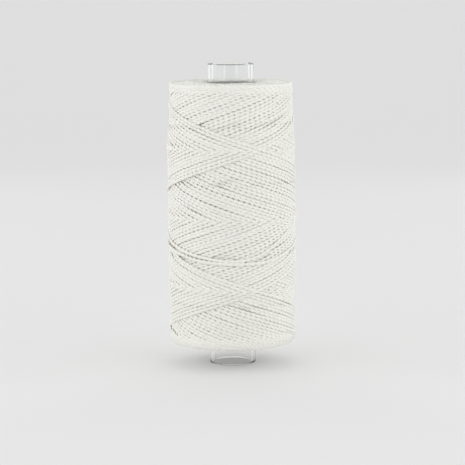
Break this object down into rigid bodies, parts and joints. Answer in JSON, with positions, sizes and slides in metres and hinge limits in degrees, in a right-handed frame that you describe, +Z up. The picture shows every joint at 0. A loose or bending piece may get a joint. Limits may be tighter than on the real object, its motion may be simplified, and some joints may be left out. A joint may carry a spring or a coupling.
{
  "type": "waxed thread spool",
  "caption": "Spool of white waxed thread, cross-wound in a slight barrel shape on a clear plastic tube whose ends stick out as short stubs.",
  "frame": {"origin": "centre of the core tube's bottom end, which is what the spool stands on", "axes": "+Z up along the core tube's axis; the spool is round, so X and Y are any two directions across it"},
  "size_m": [0.0324, 0.0324, 0.075],
  "materials": {
    "clear_tube": "clear, smooth and glossy",
    "thread": "matt white plied thread with the faint sheen of wax"
  },
  "bodies": {
    "root": {"core_tube": "clear_tube", "wound_thread": "thread"}
  },
  "joints": []
}
